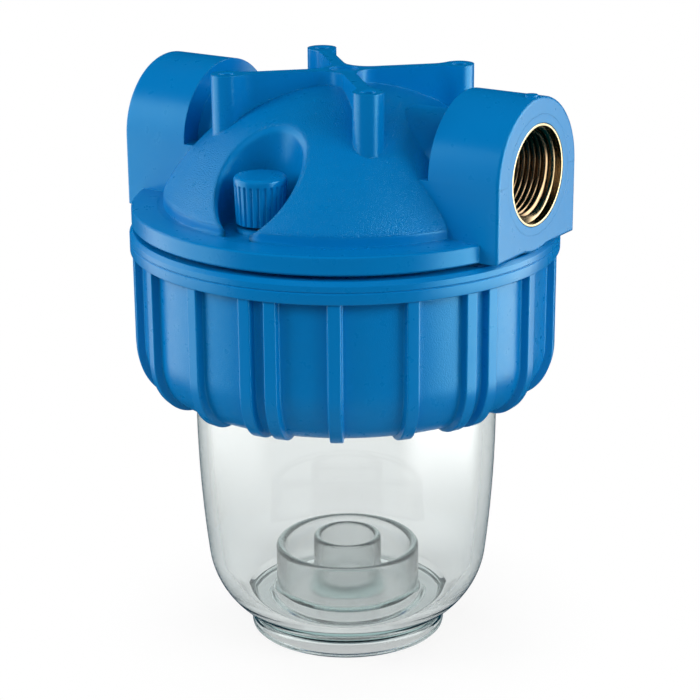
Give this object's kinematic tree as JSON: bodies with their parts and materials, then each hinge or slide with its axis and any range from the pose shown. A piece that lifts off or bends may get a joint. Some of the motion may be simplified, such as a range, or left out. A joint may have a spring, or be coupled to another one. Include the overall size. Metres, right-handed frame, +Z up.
{
  "type": "water filter housing",
  "caption": "Three-piece cartridge filter housing: domed head with threaded side ports and vent, ribbed ring nut and clear bowl.",
  "frame": {"origin": "middle of the foot's underside, on the bowl's axis", "axes": "+Z up along the bowl's axis, +X out of the outlet port, -Y towards the vent"},
  "size_m": [0.136, 0.134, 0.1833],
  "materials": {
    "head_plastic": "moulded blue polypropylene, satin gloss",
    "nut_plastic": "moulded blue polypropylene, satin gloss",
    "knob_plastic": "moulded blue polypropylene, satin gloss",
    "clear_plastic": "clear styrene acrylonitrile, polished mould",
    "bush_brass": "turned brass",
    "stem_brass": "turned brass",
    "seal_rubber": "black nitrile rubber",
    "washer_plastic": "white low-friction plastic"
  },
  "bodies": {
    "head": {"head": "head_plastic", "inlet_insert": "bush_brass", "outlet_insert": "bush_brass", "inlet_insert_oring": "seal_rubber", "outlet_insert_oring": "seal_rubber"},
    "bowl": {"bowl": "clear_plastic", "bowl_oring": "seal_rubber", "slip_ring": "washer_plastic"},
    "nut": {"ring_nut": "nut_plastic"},
    "vent_seal": {"vent_oring": "seal_rubber"},
    "vent_screw": {"vent_knob": "knob_plastic", "vent_stem": "stem_brass"}
  },
  "joints": [
    {"name": "ring_nut_turn", "type": "hinge", "parent": "bowl", "child": "nut", "pos_m": [0, 0, 0.11], "axis": [0, 0, -1], "range_deg": [0, 1080]},
    {"name": "bowl_lower", "type": "slide", "parent": "head", "child": "bowl", "axis": [0, 0, -1], "range_m": [0, 0.018]},
    {"name": "vent_turn", "type": "hinge", "parent": "vent_seal", "child": "vent_screw", "pos_m": [0, -0.0442, 0.145], "axis": [0, 0, 1], "range_deg": [0, 540]},
    {"name": "vent_lift", "type": "slide", "parent": "head", "child": "vent_seal", "axis": [0, 0, 1], "range_m": [0, 0.0015]}
  ],
  "couplings": [
    {"joint": "bowl_lower", "follows": "ring_nut_turn", "m_per_rad": 0.0009549},
    {"joint": "vent_lift", "follows": "vent_turn", "m_per_rad": 0.00015915}
  ]
}
